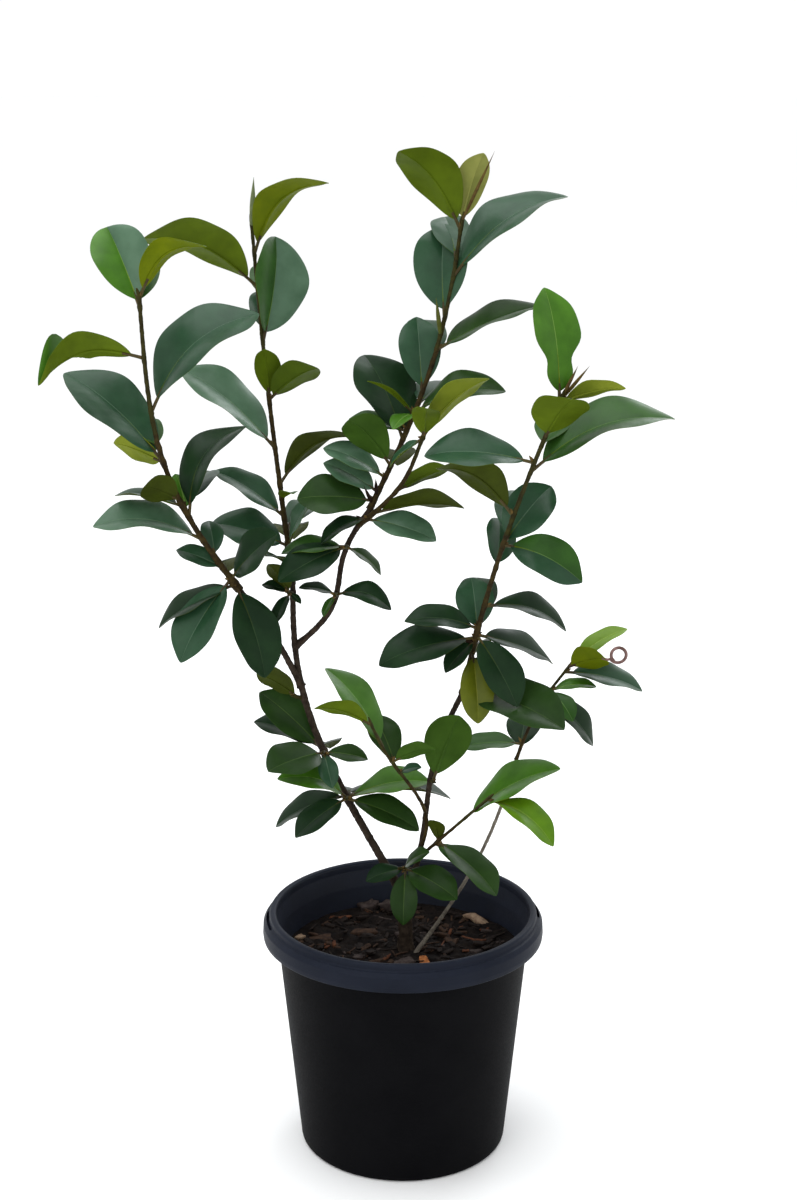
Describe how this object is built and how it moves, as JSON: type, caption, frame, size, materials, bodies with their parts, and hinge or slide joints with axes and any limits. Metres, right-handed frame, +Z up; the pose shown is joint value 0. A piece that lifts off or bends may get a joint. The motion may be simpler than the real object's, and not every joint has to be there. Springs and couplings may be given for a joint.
{
  "type": "potted magnolia",
  "caption": "Young evergreen magnolia with slender forked stems and glossy oval leaves, standing in a round tapered nursery pot filled with bark potting mix.",
  "frame": {"origin": "centre of the pot's flat underside, on the ground", "axes": "+Z up through the pot's axis, +X to the right of the front view, -Y towards the viewer of the front view"},
  "size_m": [0.4057, 0.2184, 0.7039],
  "materials": {
    "pot_plastic": "matt black moulded plastic, slightly bluish at the rim",
    "potting_mix": "dark moist bark potting mix, rough",
    "bark": "grey-brown young bark, rough",
    "foliage": "glossy dark green upper sides, matt olive undersides"
  },
  "bodies": {
    "root": {"pot": "pot_plastic", "potting_mix": "potting_mix", "trunk": "bark", "stem_left": "bark", "stem_right": "bark", "left_bough": "bark", "right_bough": "bark", "far_stem": "bark", "left_leader": "foliage", "back_leader": "foliage", "centre_leader": "foliage", "front_shoot": "foliage", "right_leader": "foliage", "round_spur": "foliage", "side_shoot": "foliage", "low_right_shoot": "foliage", "far_shoot": "foliage", "fork_spur": "foliage", "low_front_spur": "foliage", "low_back_spur": "foliage", "mid_front_spur": "foliage", "mid_back_spur": "foliage", "upper_spur": "foliage", "top_spur": "foliage", "bough_low_spur": "foliage", "bough_high_spur": "foliage"}
  },
  "joints": []
}
